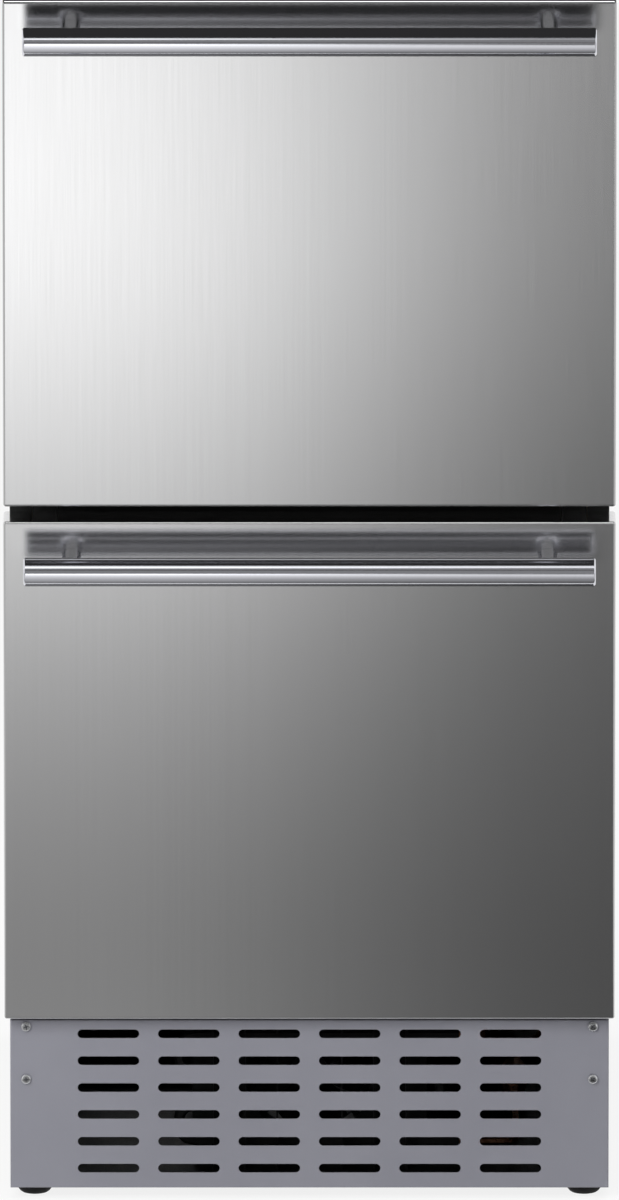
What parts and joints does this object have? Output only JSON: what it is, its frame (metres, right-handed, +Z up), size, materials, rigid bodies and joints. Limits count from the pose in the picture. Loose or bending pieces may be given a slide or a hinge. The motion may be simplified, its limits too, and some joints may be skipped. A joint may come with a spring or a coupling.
{
  "type": "undercounter drawer refrigerator",
  "caption": "Narrow undercounter refrigerator with stacked stainless drawers on telescopic slides, round bar handles, slotted kick plate and levelling feet.",
  "frame": {"origin": "on the floor, under the middle of the whole object with its handles and feet", "axes": "+Z up, -Y out of the drawer fronts, +X to the right of someone facing the fronts"},
  "size_m": [0.44, 0.6474, 0.879],
  "materials": {
    "brushed_steel": "vertical brushed grain, satin",
    "handle_steel": "fine brushed, near polish",
    "grey_paint": "satin blue-grey powder coat",
    "black_paint": "fine textured powder coat",
    "galvanised_steel": "spangled zinc coat",
    "zinc_steel": "bright zinc plate",
    "black_plastic": "fine moulded grain",
    "white_plastic": "smooth, slightly glossy",
    "grey_plastic": "fine moulded grain",
    "black_rubber": "matt",
    "grey_rubber": "matt",
    "foam": "foamed skin",
    "copper": "drawn tube",
    "aluminium": "mill finish",
    "lamp_plastic": "opal lens"
  },
  "bodies": {
    "cabinet": {"cabinet_shell": "black_paint", "back_panel": "galvanised_steel", "base_tray": "black_paint", "deck_plate": "galvanised_steel", "insulation_foam": "foam", "inner_liner": "white_plastic", "front_frame": "black_plastic", "mullion_bar": "black_paint", "kick_plate": "grey_paint", "compressor": "black_paint", "condenser_coil": "black_paint", "condenser_fan_housing": "black_plastic", "drip_tray": "black_plastic", "discharge_line": "copper", "suction_line": "copper", "filter_drier": "copper", "rear_cover": "galvanised_steel", "cord_gland": "black_rubber", "evaporator_coil": "aluminium", "evaporator_cover": "white_plastic", "control_panel": "grey_plastic", "interior_light": "lamp_plastic", "kick_screw_upper_left": "zinc_steel", "kick_screw_upper_right": "zinc_steel", "kick_screw_lower_left": "zinc_steel", "kick_screw_lower_right": "zinc_steel", "upper_left_outer_rail": "zinc_steel", "upper_right_outer_rail": "zinc_steel", "lower_left_outer_rail": "zinc_steel", "lower_right_outer_rail": "zinc_steel"},
    "upper_drawer": {"upper_drawer_skin": "brushed_steel", "upper_foam_core": "foam", "upper_inner_panel": "white_plastic", "upper_gasket": "grey_rubber", "upper_handle": "handle_steel", "upper_drawer_box": "white_plastic", "upper_left_inner_rail": "zinc_steel", "upper_right_inner_rail": "zinc_steel"},
    "upper_left_middle_slide": {"upper_left_middle_rail": "zinc_steel"},
    "upper_right_middle_slide": {"upper_right_middle_rail": "zinc_steel"},
    "lower_drawer": {"lower_drawer_skin": "brushed_steel", "lower_foam_core": "foam", "lower_inner_panel": "white_plastic", "lower_gasket": "grey_rubber", "lower_handle": "handle_steel", "lower_drawer_box": "white_plastic", "lower_left_inner_rail": "zinc_steel", "lower_right_inner_rail": "zinc_steel"},
    "lower_left_middle_slide": {"lower_left_middle_rail": "zinc_steel"},
    "lower_right_middle_slide": {"lower_right_middle_rail": "zinc_steel"},
    "foot_front_left": {"levelling_foot_front_left": "black_rubber"},
    "foot_front_right": {"levelling_foot_front_right": "black_rubber"},
    "foot_rear_left": {"levelling_foot_rear_left": "black_rubber"},
    "foot_rear_right": {"levelling_foot_rear_right": "black_rubber"},
    "button_1": {"control_button_1": "black_plastic"},
    "button_2": {"control_button_2": "black_plastic"},
    "button_3": {"control_button_3": "black_plastic"},
    "condenser_fan": {"condenser_fan_blade": "black_plastic"},
    "evaporator_fan": {"evaporator_fan_blade": "grey_plastic"}
  },
  "joints": [
    {"name": "upper_drawer_slide", "type": "slide", "parent": "cabinet", "child": "upper_drawer", "axis": [0, -1, 0], "range_m": [0, 0.38]},
    {"name": "upper_left_middle_travel", "type": "slide", "parent": "cabinet", "child": "upper_left_middle_slide", "axis": [0, -1, 0], "range_m": [0, 0.19]},
    {"name": "upper_right_middle_travel", "type": "slide", "parent": "cabinet", "child": "upper_right_middle_slide", "axis": [0, -1, 0], "range_m": [0, 0.19]},
    {"name": "lower_drawer_slide", "type": "slide", "parent": "cabinet", "child": "lower_drawer", "axis": [0, -1, 0], "range_m": [0, 0.38]},
    {"name": "lower_left_middle_travel", "type": "slide", "parent": "cabinet", "child": "lower_left_middle_slide", "axis": [0, -1, 0], "range_m": [0, 0.19]},
    {"name": "lower_right_middle_travel", "type": "slide", "parent": "cabinet", "child": "lower_right_middle_slide", "axis": [0, -1, 0], "range_m": [0, 0.19]},
    {"name": "foot_front_left_height", "type": "slide", "parent": "cabinet", "child": "foot_front_left", "axis": [0, 0, -1], "range_m": [0, 0.02]},
    {"name": "foot_front_right_height", "type": "slide", "parent": "cabinet", "child": "foot_front_right", "axis": [0, 0, -1], "range_m": [0, 0.02]},
    {"name": "foot_rear_left_height", "type": "slide", "parent": "cabinet", "child": "foot_rear_left", "axis": [0, 0, -1], "range_m": [0, 0.02]},
    {"name": "foot_rear_right_height", "type": "slide", "parent": "cabinet", "child": "foot_rear_right", "axis": [0, 0, -1], "range_m": [0, 0.02]},
    {"name": "button_1_press", "type": "slide", "parent": "cabinet", "child": "button_1", "axis": [0, 1, 0], "range_m": [0, 0.0012], "stiffness_N_per_m": 400, "springref_m": -0.0005},
    {"name": "button_2_press", "type": "slide", "parent": "cabinet", "child": "button_2", "axis": [0, 1, 0], "range_m": [0, 0.0012], "stiffness_N_per_m": 400, "springref_m": -0.0005},
    {"name": "button_3_press", "type": "slide", "parent": "cabinet", "child": "button_3", "axis": [0, 1, 0], "range_m": [0, 0.0012], "stiffness_N_per_m": 400, "springref_m": -0.0005},
    {"name": "condenser_fan_spin", "type": "hinge", "parent": "cabinet", "child": "condenser_fan", "pos_m": [0, -0.14375, 0.0724], "axis": [0, 1, 0], "continuous": true},
    {"name": "evaporator_fan_spin", "type": "hinge", "parent": "cabinet", "child": "evaporator_fan", "pos_m": [0, 0.24675, 0.728], "axis": [0, 1, 0], "continuous": true}
  ],
  "couplings": [
    {"joint": "upper_left_middle_travel", "follows": "upper_drawer_slide", "ratio": 0.5},
    {"joint": "upper_right_middle_travel", "follows": "upper_drawer_slide", "ratio": 0.5},
    {"joint": "lower_left_middle_travel", "follows": "lower_drawer_slide", "ratio": 0.5},
    {"joint": "lower_right_middle_travel", "follows": "lower_drawer_slide", "ratio": 0.5}
  ]
}
